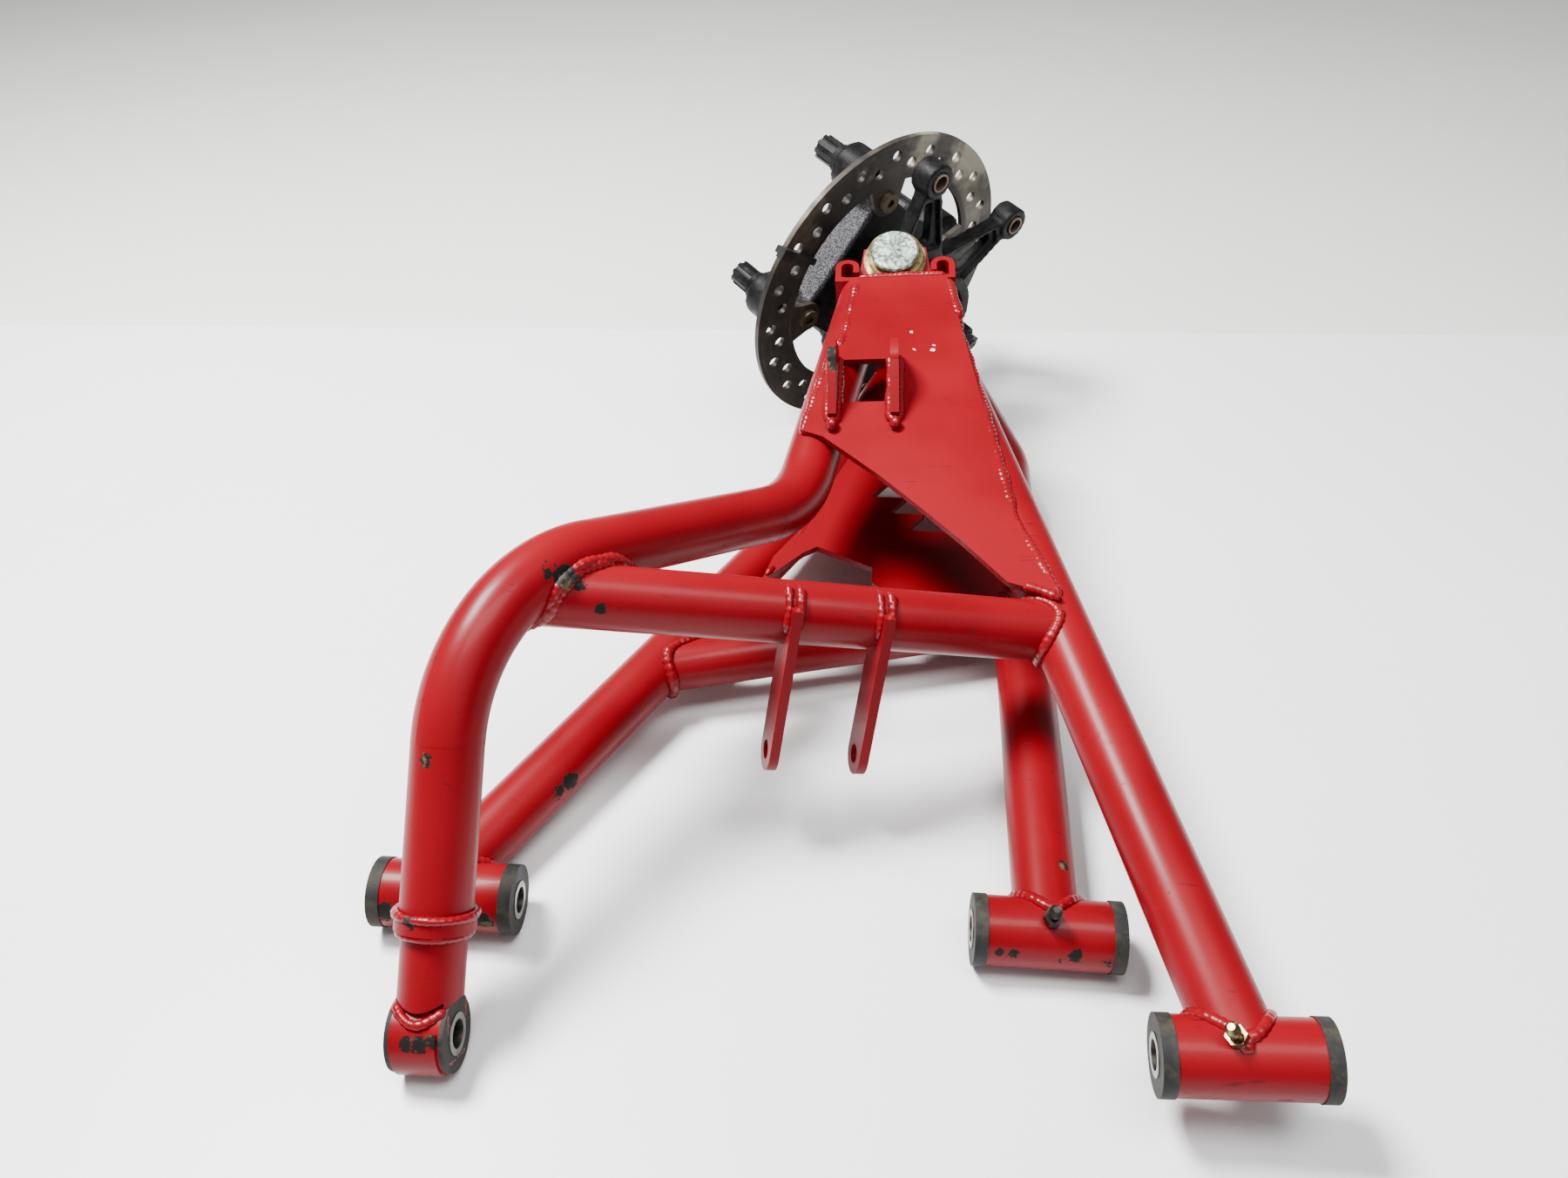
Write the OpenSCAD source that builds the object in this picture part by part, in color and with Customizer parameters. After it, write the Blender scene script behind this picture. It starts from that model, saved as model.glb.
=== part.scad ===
// Front suspension corner of a light off-road vehicle: two tubular A-arms, a cast
// steering knuckle and a wheel hub with its brake disc, lying loose on a flat surface.
// Origin: centre of the lower arm's rear pivot. +X runs along the lower pivot axis,
// +Y points outboard to the wheel, +Z points up. All sizes are in millimetres.

/* [Tubes] */
// Outside diameter of the arm tubes
tube_d = 31.75; // [28:0.25:34]
// Wall thickness of every tube
wall = 2.5; // [2:0.5:3]
// Outside diameter of the upper cross tube
cross_d = 31.75; // [28:0.25:32]
// Outside diameter of the lower cross tube
lower_cross_d = 28.6; // [26:0.2:31]
// Outside diameter of the reduced tube at the upper front pivot
spigot_d = 28.6; // [26:0.2:30]
// Centreline radius of the big bend in the upper front leg
arch_r = 92; // [80:1:100]
// Centreline radius of the smaller bends
bend_r = 70; // [60:1:80]

/* [Pivots] */
// Outside diameter of the pivot barrels
barrel_d = 32.4; // [32:0.1:34]
// Length of a wide pivot barrel
barrel_l = 57; // [54:1:64]
// Length of the narrow pivot barrel
narrow_l = 22; // [16:1:26]
// Diameter of the bush flanges
flange_d = 33.4; // [32:0.2:36]
// Thickness of a bush flange
flange_t = 6.2; // [5:0.1:8]
// Thickness of a flange at the narrow pivot
narrow_flange_t = 2; // [1.5:0.1:6]
// Outside diameter of the steel pivot sleeves
sleeve_d = 18; // [16:0.5:20]
// Bolt bore of the pivot sleeves
sleeve_bore = 12.4; // [10:0.1:13]

/* [Lower arm] */
// Distance between the two lower pivots
lower_span = 286; // [278:1:294]
// Distance from the lower pivot axis to the lower ball centre
lower_reach = 533; // [500:1:560]
// Height of the lower arm's plane over the surface, in degrees
lower_rise = 3.65; // [2:0.05:6]

/* [Upper arm] */
// Distance between the two upper pivots
upper_span = 345; // [335:1:355]
// Distance from the upper pivot axis to the upper ball centre
upper_reach = 523; // [500:1:550]
// Climb of the upper arm from its pivots to its ball joint, in degrees
upper_rise = 14; // [12:0.1:16]
// Tilt of the upper pivot axis along its length, in degrees
upper_roll = 4.1; // [3:0.1:5]
// Tilt of both ball joint housings from square, in degrees
housing_tilt = 18.6; // [14:0.1:22]

/* [Wheel end] */
// Outside diameter of the brake disc
disc_d = 233.6; // [220:0.2:248]
// Inside diameter of the disc's ring, between its ears
disc_bore = 170; // [164:1:174]
// Thickness of the brake disc
disc_t = 4; // [3.5:0.5:5]
// Diameter of the circle of wheel studs
stud_pcd = 156; // [150:1:156]
// Outside diameter of the wheel bearing
bearing_d = 66; // [64:1:68]
// Heading of the axle from +X, in degrees
axle_heading = 133.4; // [130:0.1:137]
// Climb of the axle towards the wheel, in degrees
axle_climb = 11.9; // [8:0.1:14]

/* [Hidden] */
$fn = 64;
big = 400;

RED = [0.78, 0.07, 0.09];
ZINC = [0.72, 0.68, 0.52];
STEEL = [0.62, 0.63, 0.65];
BLACK = [0.09, 0.09, 0.10];
CASTING = [0.16, 0.16, 0.17];
BUSH = [0.20, 0.20, 0.19];
RUST = [0.33, 0.27, 0.22];
RUBBER = [0.06, 0.06, 0.06];

barrel_r = barrel_d / 2;
bush_d = 24;
running_gap = 0.05;
tube_bore = tube_d - 2 * wall;
bend_lip = 0.2;
bend_overlap = 1.5;

// ---- geometry helpers ----

function unit(v) = v / norm(v);
function rot_x(a, p) = [p.x, p.y * cos(a) - p.z * sin(a), p.y * sin(a) + p.z * cos(a)];
function rot_y(a, p) = [p.x * cos(a) + p.z * sin(a), p.y, -p.x * sin(a) + p.z * cos(a)];
function turn(a, b, c) = acos(unit(b - a) * unit(c - b));
function setback(a, b, c, r) = r * tan(turn(a, b, c) / 2);
function between(a, b, t) = a + (b - a) * t;

// Points the children's +Z from one point towards another
module aim(from, to) {
    d = to - from;
    translate(from)
        rotate([0, acos(d.z / norm(d)), atan2(d.y, d.x)])
            children();
}

module rod(from, to, d) {
    aim(from, to)
        cylinder(h = norm(to - from), d = d);
}

// Round bend of a pipe of diameter d and the given bore, turning the corner b with radius r.
// Its wall is thicker than the rods' by a hair each way, so that their ends run into it.
module elbow(a, b, c, r, d, bore) {
    u = unit(b - a);
    w = unit(c - b);
    n = unit(cross(u, w));
    s = cross(n, u);
    m = b - u * setback(a, b, c, r) + s * r;
    multmatrix([[-s.x, u.x, n.x, m.x], [-s.y, u.y, n.y, m.y], [-s.z, u.z, n.z, m.z]])
        rotate_extrude(angle = turn(a, b, c))
            translate([r, 0])
                difference() {
                    circle(d = d + bend_lip);
                    if (bore > 0)
                        circle(d = bore - bend_lip);
                }
}

// Straight piece of pipe
module pipe(from, to, d, bore) {
    aim(from, to)
        difference() {
            cylinder(h = norm(to - from), d = d);
            if (bore > 0)
                translate([0, 0, -1])
                    cylinder(h = norm(to - from) + 2, d = bore);
        }
}

// Pipe along a list of corners; radii[i] rounds corner i + 1
module bent_pipe(p, radii, d, bore) {
    last = len(p) - 1;
    for (i = [0 : last - 1]) {
        go = unit(p[i + 1] - p[i]);
        from = i == 0 ? p[0]
            : p[i] + go * (setback(p[i - 1], p[i], p[i + 1], radii[i - 1]) - bend_overlap);
        to = i == last - 1 ? p[last]
            : p[i + 1] - go * (setback(p[i], p[i + 1], p[i + 2], radii[i]) - bend_overlap);
        pipe(from, to, d, bore);
    }
    for (i = [1 : last - 1])
        elbow(p[i - 1], p[i], p[i + 1], radii[i - 1], d, bore);
}

module along_x(h, d) {
    rotate([0, 90, 0])
        cylinder(h = h, d = d, center = true);
}

// ---- places ----

module lower_place() {
    rotate([lower_rise, 0, 0])
        children();
}

upper_pivot = [71, -72, 24.6];

module upper_place() {
    translate(upper_pivot)
        rotate([upper_rise, -upper_roll, 0])
            children();
}

lower_ball = [-37, lower_reach, 0];
upper_ball = [-142, upper_reach, 0];
lower_ball_row = rot_x(lower_rise, lower_ball);
upper_ball_row = upper_pivot + rot_y(-upper_roll, rot_x(upper_rise, upper_ball));

disc_c = [-90.8, 516.9, 96.9];

// Wheel frame: origin at the disc's centre, +Z outboard along the axle, +X up
module wheel_place() {
    translate(disc_c)
        rotate([0, 90 - axle_climb, axle_heading])
            rotate([0, 0, 180])
                children();
}

// The same map for points
function wheel_to_row(p) =
    let (q = rot_y(90 - axle_climb, [-p.x, -p.y, p.z]), c = cos(axle_heading), s = sin(axle_heading))
    disc_c + [q.x * c - q.y * s, q.x * s + q.y * c, q.z];

function row_to_wheel(p) =
    let (d = p - disc_c, c = cos(axle_heading), s = sin(axle_heading),
         q = rot_y(axle_climb - 90, [d.x * c + d.y * s, -d.x * s + d.y * c, d.z]))
    [-q.x, -q.y, q.z];

// Housing frames: origin at the ball's centre, +Z along the housing's axis
module upper_housing_place() {
    upper_place()
        translate(upper_ball)
            rotate([housing_tilt, 0, 0])
                children();
}

module lower_housing_place() {
    lower_place()
        translate(lower_ball)
            rotate([housing_tilt, 0, 0])
                children();
}

// Stud frames: origin at the ball's centre, +Z from the ball into the knuckle
module upper_stud_place() {
    aim(upper_ball_row, lower_ball_row)
        children();
}

module lower_stud_place() {
    aim(lower_ball_row, upper_ball_row)
        children();
}

// ---- corners of the tubes, in each arm's own plane ----

lower_front = [-lower_span, 0, 0];
lower_web_y = 476;
lower_rear_path = [[1, 0, 0], [5, 375, 0], [-23, lower_web_y + 4, 0]];
lower_front_path = [[-lower_span - 11, -4, 0], [-143, 284, 0], [-75, lower_web_y + 4, 0]];
lower_cross_ends = [[-205, 160, 0], [3, 218, 0]];

upper_front = [-upper_span, 0, 0];
upper_rear = [-2.5, 0, 0];
upper_web_y = 495;
upper_rear_path = [[-1.5, 0, 0], [-129, upper_web_y, 0]];
arch_top = [-331, 158, 118];
upper_front_path = [upper_front, arch_top, [-199, 303, 0], [-163, upper_web_y, 0]];
upper_cross_ends = [[-62, 213.5, 0], [-321, 176, 87]];
collar_at = unit(arch_top - upper_front) * 49;
arch_path = [upper_front + collar_at, arch_top, upper_front_path[2], upper_front_path[3]];

module lower_rear_core(d, bore = 0) { bent_pipe(lower_rear_path, [bend_r], d, bore); }
module lower_front_core(d, bore = 0) { bent_pipe(lower_front_path, [bend_r], d, bore); }
module lower_cross_core(d, bore = 0) { pipe(lower_cross_ends[0], lower_cross_ends[1], d, bore); }
module upper_rear_core(d, bore = 0) { pipe(upper_rear_path[0], upper_rear_path[1], d, bore); }
module upper_front_core(d, bore = 0) { bent_pipe(arch_path, [arch_r, bend_r], d, bore); }
module upper_cross_core(d, bore = 0) { pipe(upper_cross_ends[0], upper_cross_ends[1], d, bore); }

// Everything past a plane at the given reach
module beyond(y) {
    translate([-big, y, -big / 2])
        cube([2 * big, big, big]);
}

// ---- pivots ----

module barrel(l) {
    difference() {
        along_x(l, barrel_d);
        along_x(l + 2, bush_d);
    }
}

// Two flanged bushes, one pressed into each end of a barrel
module bush_pair(l, flange, t) {
    for (side = [-1, 1])
        difference() {
            union() {
                translate([side * (l / 2 + t / 2), 0, 0])
                    along_x(t, flange);
                translate([side * l / 4 + side * 0.5, 0, 0])
                    along_x(l / 2 - 1, bush_d);
            }
            translate([side * l / 2, 0, 0])
                along_x(l + 2 * t, sleeve_d + 2 * running_gap);
        }
}

module sleeve(l, t) {
    difference() {
        along_x(l + 2 * t + 1, sleeve_d);
        along_x(l + 2 * t + 3, sleeve_bore);
    }
}

// Grease fitting that stands on a barrel: threaded boss, hexagon, neck and nipple
module grease_fitting(lean) {
    rotate(lean) {
        translate([0, 0, barrel_r - 2])
            cylinder(h = 4, d = 7);
        translate([0, 0, barrel_r + 2])
            cylinder(h = 4.5, d = 9, $fn = 6);
        translate([0, 0, barrel_r + 6.5])
            cylinder(h = 3, d = 4.4);
        translate([0, 0, barrel_r + 9.5])
            cylinder(h = 2.5, d = 6);
        translate([0, 0, barrel_r + 12])
            cylinder(h = 2, d1 = 6, d2 = 3);
    }
}

lower_fitting_lean = [16, 0, 0];
upper_fitting_lean = [-6, -24, 0];

module lower_rear_barrel() {
    color(RED)
        difference() {
            barrel(barrel_l);
            grease_fitting(lower_fitting_lean);
        }
}

module lower_front_barrel() {
    color(RED)
        translate(lower_front)
            barrel(barrel_l);
}

module upper_rear_barrel() {
    color(RED)
        upper_place()
            difference() {
                translate(upper_rear)
                    barrel(barrel_l);
                grease_fitting(upper_fitting_lean);
            }
}

module upper_front_barrel() {
    color(RED)
        upper_place()
            translate(upper_front)
                difference() {
                    union() {
                        barrel(narrow_l);
                        // strap that wraps the underside of the barrel
                        rotate([0, 90, 0])
                            rotate([0, 0, 200])
                                translate([0, 0, -narrow_l / 2 + 1])
                                    rotate_extrude(angle = 200)
                                        translate([barrel_r - 1, 0])
                                            square([2.2, narrow_l - 2]);
                    }
                    along_x(narrow_l + 2, bush_d);
                }
}

module lower_bushes() {
    color(BUSH) {
        bush_pair(barrel_l, flange_d, flange_t);
        translate(lower_front)
            bush_pair(barrel_l, flange_d, flange_t);
    }
}

module upper_rear_bushes() {
    color(BUSH)
        upper_place()
            translate(upper_rear)
                bush_pair(barrel_l, flange_d, flange_t);
}

module upper_front_bushes() {
    color(BUSH)
        upper_place()
            translate(upper_front)
                bush_pair(narrow_l, flange_d - 1, narrow_flange_t);
}

module lower_rear_sleeve() {
    color(STEEL)
        sleeve(barrel_l, flange_t);
}

module lower_front_sleeve() {
    color(STEEL)
        translate(lower_front)
            sleeve(barrel_l, flange_t);
}

module upper_rear_sleeve() {
    color(STEEL)
        upper_place()
            translate(upper_rear)
                sleeve(barrel_l, flange_t);
}

module upper_front_sleeve() {
    color(STEEL)
        upper_place()
            translate(upper_front)
                sleeve(narrow_l, narrow_flange_t);
}

module lower_grease_fitting() {
    color(STEEL)
        difference() {
            grease_fitting(lower_fitting_lean);
            along_x(barrel_l, bush_d);
        }
}

module upper_grease_fitting() {
    color(ZINC)
        upper_place()
            difference() {
                grease_fitting(upper_fitting_lean);
                along_x(barrel_l, bush_d);
            }
}

// ---- lower arm ----

module lower_rear_leg() {
    color(RED)
        difference() {
            lower_place()
                difference() {
                    lower_rear_core(tube_d, tube_bore);
                    beyond(lower_web_y);
                }
            along_x(2 * barrel_l, barrel_d);
        }
}

module lower_front_leg() {
    color(RED)
        difference() {
            lower_place()
                difference() {
                    lower_front_core(tube_d, tube_bore);
                    beyond(lower_web_y);
                }
            translate(lower_front)
                along_x(2 * barrel_l, barrel_d);
        }
}

module lower_cross_tube() {
    color(RED)
        lower_place()
            difference() {
                lower_cross_core(lower_cross_d, lower_cross_d - 2 * wall);
                lower_rear_core(tube_d);
                lower_front_core(tube_d);
            }
}

// Slanted vent of the lower gusset, one corner at the origin
module slanted_hole() {
    polygon([[0, 0], [24, 0], [29, 9], [12, 18]]);
}

module lower_gusset() {
    plate_z = 8;
    color(RED)
        lower_place()
            difference() {
                translate([0, 0, plate_z])
                    linear_extrude(4)
                        difference() {
                            polygon([[-155, 226], [-130, 256], [-122, 262], [-87, 244], [-87, 230],
                                     [-57, 204], [-1, 221], [5, 380], [-16, 466], [-80, 466],
                                     [-141, 284]]);
                            for (i = [0 : 2])
                                translate([-89 + 12 * i, 317 - 17 * i])
                                    slanted_hole();
                            translate([-55, 400])
                                circle(d = 34);
                        }
                lower_rear_core(tube_d);
                lower_front_core(tube_d);
                lower_cross_core(lower_cross_d);
                beyond(lower_web_y);
            }
}

// ---- end brackets, shared by both arms ----

bracket_w = 80;
bracket_t = 4;
hook_r = 8;

// Folded bracket seen from above: a web with a hook curled at each end
module bracket_outline() {
    translate([-bracket_w / 2, 0])
        square([bracket_w, bracket_t]);
    for (side = [-1, 1])
        translate([side * (bracket_w / 2 - hook_r), 0]) {
            translate([side > 0 ? hook_r - bracket_t : -hook_r, 0])
                square([bracket_t, 15]);
            translate([0, 15])
                difference() {
                    circle(r = hook_r);
                    circle(r = hook_r - bracket_t);
                    translate([-2 * hook_r, -2 * hook_r])
                        square([4 * hook_r, 2 * hook_r]);
                }
            translate([side > 0 ? -hook_r : hook_r - bracket_t, 9])
                square([bracket_t, 6]);
        }
}

module end_bracket(low, high) {
    translate([0, 0, low])
        linear_extrude(high - low)
            bracket_outline();
}

// ---- ball joints ----

ball_r = 12;
seat_gap = 0.3;
seat_r = 15;
cavity_r = seat_r + seat_gap;
housing_d = 37;
housing_low = 8;
neck_d = 12;
stud_d = 15;
boss_start = 21;
boss_end = 35;

// Pressed steel housing, open towards the knuckle
module ball_housing() {
    difference() {
        translate([0, 0, -housing_low])
            cylinder(h = housing_low + 12, d = housing_d);
        sphere(r = cavity_r);
        translate([0, 0, 10])
            cylinder(h = 10, r = 11.5);
    }
}

// Cap over the housing: collar and a dished face
module ball_cap() {
    difference() {
        union() {
            translate([0, 0, 12])
                cylinder(h = 5, d = 38);
            translate([0, 0, 17])
                cylinder(h = 4, d = 32.4);
            translate([0, 0, 21])
                cylinder(h = 1, d1 = 32.4, d2 = 30);
        }
        sphere(r = cavity_r);
    }
}

// Bearing shell around the ball; it swings in the housing, and the stud turns in it
module ball_seat() {
    difference() {
        sphere(r = seat_r);
        sphere(r = ball_r + seat_gap);
        cylinder(h = 20, d = neck_d + 5);
        translate([0, 0, 9.5])
            cylinder(h = 10, r = 20);
    }
}

// Ball stud: ball, neck, shoulder, shank and threaded end, along +Z
module ball_stud() {
    difference() {
        sphere(r = ball_r);
        translate([0, 0, -ball_r - 1])
            cylinder(h = 3, r = ball_r);
    }
    cylinder(h = boss_start - 3, d = neck_d);
    translate([0, 0, boss_start - 3])
        cylinder(h = 3, d1 = neck_d, d2 = 18);
    translate([0, 0, boss_start])
        cylinder(h = boss_end - boss_start, d = stud_d);
}

// Rubber collar round the stud's neck, below the knuckle's boss
module boot() {
    ring(17.3, 20.6, 29, 19.2);
}

lower_bracket_x = lower_ball.x - 12;

module lower_end_bracket() {
    color(RED)
        lower_place()
            difference() {
                translate([lower_bracket_x, lower_web_y, 0])
                    end_bracket(-15, 4);
                translate(lower_ball)
                    rotate([housing_tilt, 0, 0])
                        cylinder(h = 80, d = housing_d, center = true);
            }
}

// Plate that carries the lower housing
module lower_ball_housing() {
    color(RED)
        difference() {
            union() {
                lower_housing_place()
                    mirror([0, 0, 1])
                        ball_housing();
                lower_place()
                    difference() {
                        translate([lower_ball.x, 0, -7])
                            linear_extrude(10)
                                polygon([[-38, lower_web_y + 4.01], [26, lower_web_y + 4.01],
                                         [17, lower_reach + 8], [-17, lower_reach + 8]]);
                        translate([lower_bracket_x, lower_web_y, 0])
                            end_bracket(-15, 4);
                    }
            }
            lower_housing_place() {
                sphere(r = cavity_r);
                cylinder(h = 30, r = 13);
                translate([0, 0, housing_low])
                    cylinder(h = 30, d = housing_d + 12);
                translate([0, 0, -42])
                    cylinder(h = 30, d = housing_d + 12);
                translate([0, 0, -20])
                    cylinder(h = 10, r = 11.5);
            }
        }
}

module lower_ball_cap() {
    color(ZINC)
        lower_housing_place()
            mirror([0, 0, 1])
                ball_cap();
}

module lower_ball_seat() {
    color(RUBBER)
        lower_stud_place()
            ball_seat();
}

module lower_boot() {
    color(RUBBER)
        lower_stud_place()
            boot();
}

module lower_ball_stud() {
    color(STEEL)
        lower_stud_place()
            ball_stud();
}

// ---- upper arm ----

module upper_rear_leg() {
    color(RED)
        upper_place()
            difference() {
                upper_rear_core(tube_d, tube_bore);
                along_x(2 * barrel_l, barrel_d);
                beyond(upper_web_y);
            }
}

module upper_front_leg() {
    color(RED)
        upper_place()
            difference() {
                upper_front_core(tube_d, tube_bore);
                beyond(upper_web_y);
            }
}

// Reduced tube between the front pivot and the weld collar
module upper_front_spigot() {
    far = upper_front + collar_at * 1.3;
    color(RED)
        upper_place()
            difference() {
                union() {
                    rod(upper_front, upper_front + collar_at, spigot_d);
                    rod(upper_front + collar_at * 0.95, far, tube_bore - 0.2);
                }
                rod(upper_front, far, spigot_d - 3 * wall);
                translate(upper_front)
                    along_x(2 * barrel_l, barrel_d);
                translate(upper_front)
                    along_x(narrow_l, barrel_d + 6);
            }
}

module upper_weld_collar() {
    go = unit(collar_at);
    at = upper_front + collar_at;
    color(RED)
        upper_place()
            difference() {
                rod(at - go * 3.5, at + go * 2, tube_d + 3.6);
                rod(at - go * 5, at, spigot_d);
                rod(at, at + go * 5, tube_d);
            }
}

module upper_cross_tube() {
    color(RED)
        upper_place()
            difference() {
                upper_cross_core(cross_d, cross_d - 2 * wall);
                upper_rear_core(tube_d);
                upper_front_core(tube_d);
            }
}

gusset_z = 15;
gusset_t = 4;
window = [30, 38];
window_at = [-175, 371];

module upper_gusset() {
    color(RED)
        upper_place()
            difference() {
                translate([0, 0, gusset_z])
                    linear_extrude(gusset_t)
                        difference() {
                            polygon([[-57, 221], [-84, 232], [-107, 261], [-130, 287], [-152, 311],
                                     [-184, 342], [-197, 348], [-194, 357], [-182, 410],
                                     [-172, 437], [-166, 490], [-108, 490], [-77, 275]]);
                            translate(window_at)
                                square(window);
                        }
                upper_rear_core(tube_d);
                upper_front_core(tube_d);
                upper_cross_core(cross_d);
            }
}

tab_t = 5;
shock_tab_x = [-179, -142];
shock_hole = [390, 34];

// Pair of upright ears for the shock absorber's lower bolt
module shock_tabs() {
    color(RED)
        upper_place()
            for (x = shock_tab_x)
                translate([x, 0, 0])
                    rotate([90, 0, 90])
                        linear_extrude(tab_t, center = true)
                            difference() {
                                union() {
                                    translate([355, gusset_z + gusset_t])
                                        square([56, 6]);
                                    translate([370, gusset_z + gusset_t + 6])
                                        polygon([[-15, 0], [10, 18], [32, 16], [41, 0]]);
                                    translate(shock_hole)
                                        circle(r = 13);
                                }
                                translate(shock_hole)
                                    circle(d = 10.4);
                                translate([300, 0])
                                    square([200, gusset_z + gusset_t]);
                            }
}

// Hanging ears for the stabiliser link, square to the cross tube
link_at = [0.513, 0.345];
link_l = 72;
link_w = 24;
link_lean = 31;
link_hole_d = 10;

module link_tab() {
    translate([-6, 6])
        rotate(-link_lean)
            difference() {
                union() {
                    translate([-link_w / 2 - 2, -link_l])
                        square([link_w - 3, link_l + 6]);
                    translate([-3.5, -link_l])
                        circle(d = link_w - 3);
                }
                translate([-3.5, -link_l])
                    circle(d = link_hole_d);
            }
}

module link_tabs() {
    along = unit(upper_cross_ends[0] - upper_cross_ends[1]);
    color(RED)
        upper_place()
            difference() {
                for (t = link_at)
                    translate(between(upper_cross_ends[0], upper_cross_ends[1], t))
                        rotate([0, -asin(along.z), atan2(along.y, along.x)])
                            rotate([90, 0, 90])
                                linear_extrude(tab_t, center = true)
                                    link_tab();
                upper_cross_core(cross_d);
            }
}

module upper_end_bracket() {
    color(RED)
        upper_place()
            translate([upper_ball.x, upper_web_y, 0])
                end_bracket(-16, 13);
}

// Trapezoid plate that carries the upper housing
module upper_ball_plate() {
    color(RED)
        difference() {
            upper_housing_place()
                translate([0, 0, 4])
                    linear_extrude(6)
                        polygon([[-28, -34], [28, -34], [21, 10], [-21, 10]]);
            upper_housing_place()
                cylinder(h = 40, d = housing_d, center = true);
            upper_place() {
                translate([upper_ball.x, upper_web_y, 0])
                    end_bracket(-40, 40);
                mirror([0, 1, 0])
                    beyond(-upper_web_y - bracket_t);
            }
        }
}

module upper_ball_housing() {
    color(RED)
        upper_housing_place()
            ball_housing();
}

module upper_ball_cap() {
    color(ZINC)
        upper_housing_place()
            ball_cap();
}

module upper_snap_ring() {
    color(STEEL)
        upper_housing_place()
            translate([0, 0, 10])
                difference() {
                    cylinder(h = 1.6, d = housing_d + 5);
                    translate([0, 0, -1])
                        cylinder(h = 4, d = housing_d);
                }
}

module upper_ball_seat() {
    color(RUBBER)
        upper_stud_place()
            ball_seat();
}

module upper_boot() {
    color(RUBBER)
        upper_stud_place()
            boot();
}

module upper_ball_stud() {
    color(STEEL)
        upper_stud_place()
            ball_stud();
}

// ---- knuckle, in the wheel frame ----

knuckle_in = -62;
knuckle_out = -24;
knuckle_r = bearing_d / 2 + 5;
ear_at = [[103, -4], [45, 94]];
ear_r = 12.5;
ear_hole_d = 10.4;
ear_in = -41;
ear_out = -24;
tie_rod_at = [-8, -76];
tie_rod_d = 12;

// Tapered arm from the barrel to an ear, with two ribs and a pocket between them
module ear_arm(at) {
    reach = norm(at);
    heading = atan2(at.y, at.x);
    rotate(heading)
        difference() {
            translate([0, 0, ear_in + 3])
                linear_extrude(12)
                    polygon([[22, -28], [reach - 12, -9], [reach, -7], [reach, 7], [reach - 12, 9],
                             [22, 28]]);
            translate([0, 0, ear_in - 1])
                linear_extrude(30)
                    polygon([[50, -9], [reach - 20, -4], [reach - 20, 4], [50, 9]]);
            translate([0, 0, ear_in - 1])
                linear_extrude(8)
                    polygon([[46, -18], [reach - 16, -6.5], [reach - 16, 6.5], [46, 18]]);
        }
}

module ear(at) {
    translate([at.x, at.y, ear_in])
        cylinder(h = ear_out - ear_in, r = ear_r);
}

module knuckle() {
    color(CASTING)
        difference() {
            union() {
                wheel_place() {
                    translate([0, 0, knuckle_in])
                        cylinder(h = knuckle_out - knuckle_in, r = knuckle_r);
                    for (at = ear_at) {
                        ear_arm(at);
                        ear(at);
                    }
                    // steering arm
                    rod([0, -30, -50], [tie_rod_at.x, tie_rod_at.y, -56], 20);
                    translate([tie_rod_at.x, tie_rod_at.y, -67])
                        cylinder(h = 22, d = 26);
                }
                upper_stud_place()
                    translate([0, 0, boss_start - 1])
                        cylinder(h = boss_end - boss_start + 9, d = 29);
                lower_stud_place()
                    translate([0, 0, boss_start - 1])
                        cylinder(h = boss_end - boss_start + 9, d = 29);
                // clamp lugs for the pinch bolts
                for (side = [0, 1])
                    pinch_place(side)
                        translate([0, 0, -14])
                            cylinder(h = 14 + pinch_grip[side], d = 20);
            }
            wheel_place() {
                translate([0, 0, knuckle_in + 4])
                    cylinder(h = 60, d = bearing_d);
                translate([0, 0, knuckle_in - 1])
                    cylinder(h = 8, d = bearing_d - 8);
                for (at = ear_at)
                    translate([at.x, at.y, ear_in - 1])
                        cylinder(h = 30, d = ear_hole_d + 3);
                translate([tie_rod_at.x, tie_rod_at.y, -68])
                    cylinder(h = 24, d = tie_rod_d);
            }
            upper_stud_place() {
                cylinder(h = boss_end + 1, d = stud_d);
                cylinder(h = boss_start, d = 40);
            }
            lower_stud_place() {
                cylinder(h = boss_end + 1, d = stud_d);
                cylinder(h = boss_start, d = 40);
            }
            // bolt holes, with a spot face under each head
            for (side = [0, 1])
                pinch_place(side) {
                    cylinder(h = 100, d = 8.4, center = true);
                    translate([0, 0, -40])
                        cylinder(h = 26, d = 17);
                }
        }
}

// Pinch bolt frames: +Z inboard along the axle, beside each stud
pinch_offset = 12.5;
pinch_grip = [14, 24];
pinch_rise = [8, 12.5];

module pinch_place(side) {
    from = side == 0 ? upper_ball_row : lower_ball_row;
    to = side == 0 ? lower_ball_row : upper_ball_row;
    axle = wheel_to_row([0, 0, -1]) - disc_c;
    at = between(from, to, (boss_start + pinch_rise[side]) / norm(to - from));
    out = unit(cross(to - from, axle));
    across = unit(axle - unit(to - from) * (axle * unit(to - from)));
    aim(at + out * pinch_offset, at + out * pinch_offset + across)
        children();
}

module pinch_bolts() {
    color(STEEL)
        difference() {
            for (side = [0, 1])
                pinch_place(side) {
                    translate([0, 0, -20])
                        cylinder(h = 28 + pinch_grip[side], d = 8);
                    translate([0, 0, -20])
                        cylinder(h = 6, d = 15, $fn = 6);
                }
            upper_stud_place()
                cylinder(h = boss_end, d = stud_d);
            lower_stud_place()
                cylinder(h = boss_end, d = stud_d);
        }
}

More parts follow.
